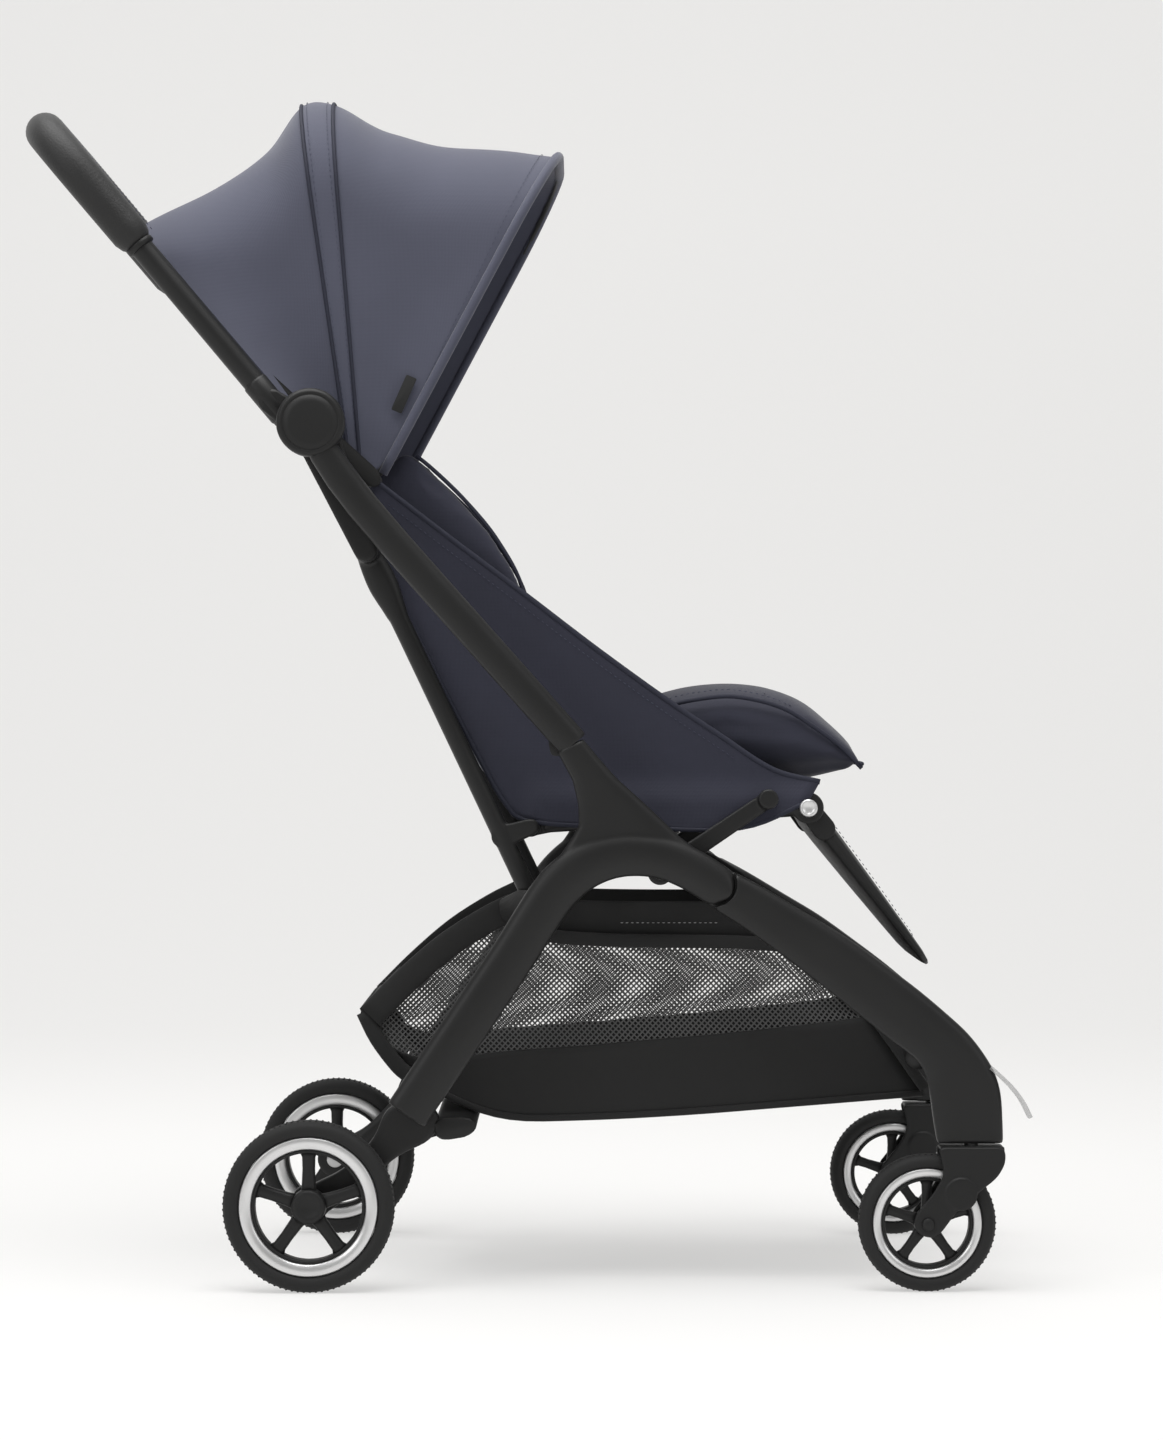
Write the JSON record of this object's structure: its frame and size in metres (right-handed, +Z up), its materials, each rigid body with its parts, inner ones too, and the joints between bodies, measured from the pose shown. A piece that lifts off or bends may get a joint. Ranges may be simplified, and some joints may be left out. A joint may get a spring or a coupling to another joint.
{
  "type": "baby stroller",
  "caption": "Compact folding travel stroller, open, with a blue-grey fabric seat and canopy, mesh basket, U-shaped handle and swivelling front wheels.",
  "frame": {"origin": "on the floor, midway along and across the open stroller", "axes": "+X forward towards the front wheels, +Y to the child's left, +Z up"},
  "size_m": [0.868, 0.45, 1.0435],
  "materials": {
    "frame_black": "satin black powder coat",
    "plastic_black": "fine grain",
    "grip_foam": "soft leatherette grain",
    "tyre_black": "matt",
    "ring_silver": "satin silver",
    "steel": "bright",
    "fabric_blue": "woven",
    "basket_mesh": "mesh and webbing",
    "bow_plastic": "smooth"
  },
  "bodies": {
    "rear_frame": {"hub_left": "frame_black", "hub_right": "frame_black", "rear_leg_left": "frame_black", "rear_leg_right": "frame_black", "hub_crossbar": "frame_black", "rear_crossbar": "frame_black", "wheel_bracket_left": "plastic_black", "wheel_bracket_right": "plastic_black", "rear_axles": "steel", "basket": "basket_mesh"},
    "rear_wheel_left": {"rear_tyre_left": "tyre_black", "rear_ring_left": "ring_silver", "rear_spokes_left": "plastic_black"},
    "rear_wheel_right": {"rear_tyre_right": "tyre_black", "rear_ring_right": "ring_silver", "rear_spokes_right": "plastic_black"},
    "brake": {"brake_pedal": "plastic_black"},
    "front_frame": {"front_leg_left": "frame_black", "front_leg_right": "frame_black", "front_crossbar": "frame_black"},
    "caster_left": {"fork_left": "plastic_black"},
    "caster_right": {"fork_right": "plastic_black"},
    "front_wheel_left": {"front_tyre_left": "tyre_black", "front_ring_left": "ring_silver", "front_spokes_left": "plastic_black"},
    "front_wheel_right": {"front_tyre_right": "tyre_black", "front_ring_right": "ring_silver", "front_spokes_right": "plastic_black"},
    "upper_frame": {"upper_tube_left": "frame_black", "upper_tube_right": "frame_black", "elbow_housing_left": "plastic_black", "elbow_housing_right": "plastic_black"},
    "handle": {"handlebar": "frame_black", "grip": "grip_foam", "elbow_plate_left": "plastic_black", "elbow_plate_right": "plastic_black", "canopy_mounts": "plastic_black", "release_housing": "plastic_black", "head_panel": "fabric_blue", "canopy_rear": "fabric_blue"},
    "button": {"fold_button": "plastic_black"},
    "lower_struts": {"lower_strut_left": "frame_black", "lower_strut_right": "frame_black", "backrest": "fabric_blue", "side_panel_left": "fabric_blue", "side_panel_right": "fabric_blue"},
    "seat": {"seat_rail_left": "frame_black", "seat_rail_right": "frame_black", "seat_crossbars": "frame_black", "seat_pan": "plastic_black", "seat_cushion": "fabric_blue", "front_edge_roll": "fabric_blue", "harness_buckle": "plastic_black"},
    "rockers": {"seat_rocker_left": "plastic_black", "seat_rocker_right": "plastic_black"},
    "leg_rest": {"leg_rest": "plastic_black", "leg_rest_buttons": "steel"},
    "canopy_middle": {"mid_bow": "bow_plastic", "canopy_front": "fabric_blue"},
    "canopy_front": {"front_bow": "bow_plastic"}
  },
  "joints": [
    {"name": "fold", "type": "hinge", "parent": "rear_frame", "child": "upper_frame", "pos_m": [0.0394, 0, 0.477], "axis": [0, -1, 0], "range_deg": [0, 106.5], "deforming": ["basket"]},
    {"name": "handle_fold", "type": "hinge", "parent": "upper_frame", "child": "handle", "pos_m": [-0.17743, 0, 0.76061], "axis": [0, -1, 0], "range_deg": [-173.5, 0], "deforming": ["head_panel"]},
    {"name": "front_fold", "type": "hinge", "parent": "rear_frame", "child": "front_frame", "pos_m": [0.1763, 0, 0.3566], "axis": [0, -1, 0], "range_deg": [-64, 0]},
    {"name": "strut_fold", "type": "hinge", "parent": "rear_frame", "child": "lower_struts", "pos_m": [0.0233, 0, 0.3263], "axis": [0, -1, 0], "range_deg": [0, 103.6], "deforming": ["backrest"]},
    {"name": "seat_fold", "type": "hinge", "parent": "lower_struts", "child": "seat", "pos_m": [0.01502, 0, 0.40507], "axis": [0, -1, 0], "range_deg": [-57.6, 0], "deforming": ["side_panel_left", "side_panel_right", "seat_cushion", "front_edge_roll"]},
    {"name": "rocker_fold", "type": "hinge", "parent": "rear_frame", "child": "rockers", "pos_m": [0.12948, 0, 0.36488], "axis": [0, -1, 0], "range_deg": [0, 82.78]},
    {"name": "canopy_middle_fold", "type": "hinge", "parent": "handle", "child": "canopy_middle", "pos_m": [-0.12493, 0, 0.71341], "axis": [0, -1, 0], "range_deg": [0, 31], "deforming": ["canopy_rear"]},
    {"name": "canopy_front_fold", "type": "hinge", "parent": "canopy_middle", "child": "canopy_front", "pos_m": [-0.12493, 0, 0.71341], "axis": [0, -1, 0], "range_deg": [0, 33], "deforming": ["canopy_front"]},
    {"name": "leg_rest_tilt", "type": "hinge", "parent": "seat", "child": "leg_rest", "pos_m": [0.26145, 0, 0.42187], "axis": [0, -1, 0], "range_deg": [0, 48]},
    {"name": "fold_release", "type": "slide", "parent": "handle", "child": "button", "axis": [0.766, 0, 0.6428], "range_m": [0, 0.004], "stiffness_N_per_m": 300, "springref_m": -0.002},
    {"name": "brake_press", "type": "hinge", "parent": "rear_frame", "child": "brake", "pos_m": [-0.0556, 0, 0.1265], "axis": [0, -1, 0], "range_deg": [0, 14]},
    {"name": "rear_wheel_left_spin", "type": "hinge", "parent": "rear_frame", "child": "rear_wheel_left", "pos_m": [-0.1785, 0.212, 0.075], "axis": [0, -1, 0], "continuous": true},
    {"name": "rear_wheel_right_spin", "type": "hinge", "parent": "rear_frame", "child": "rear_wheel_right", "pos_m": [-0.1785, -0.212, 0.075], "axis": [0, -1, 0], "continuous": true},
    {"name": "caster_left_swivel", "type": "hinge", "parent": "front_frame", "child": "caster_left", "pos_m": [0.4015, 0.204, 0.128], "axis": [0, 0, 1], "continuous": true},
    {"name": "front_wheel_left_spin", "type": "hinge", "parent": "caster_left", "child": "front_wheel_left", "pos_m": [0.3625, 0.204, 0.06], "axis": [0, -1, 0], "continuous": true},
    {"name": "caster_right_swivel", "type": "hinge", "parent": "front_frame", "child": "caster_right", "pos_m": [0.4015, -0.204, 0.128], "axis": [0, 0, 1], "continuous": true},
    {"name": "front_wheel_right_spin", "type": "hinge", "parent": "caster_right", "child": "front_wheel_right", "pos_m": [0.3625, -0.204, 0.06], "axis": [0, -1, 0], "continuous": true}
  ],
  "couplings": [
    {"joint": "handle_fold", "follows": "fold", "ratio": -1.6291},
    {"joint": "front_fold", "follows": "fold", "ratio": -0.60094},
    {"joint": "strut_fold", "follows": "fold", "ratio": 0.97277},
    {"joint": "seat_fold", "follows": "fold", "ratio": -0.54085},
    {"joint": "rocker_fold", "follows": "fold", "ratio": 0.77727},
    {"joint": "canopy_middle_fold", "follows": "fold", "ratio": 0.29108}
  ]
}
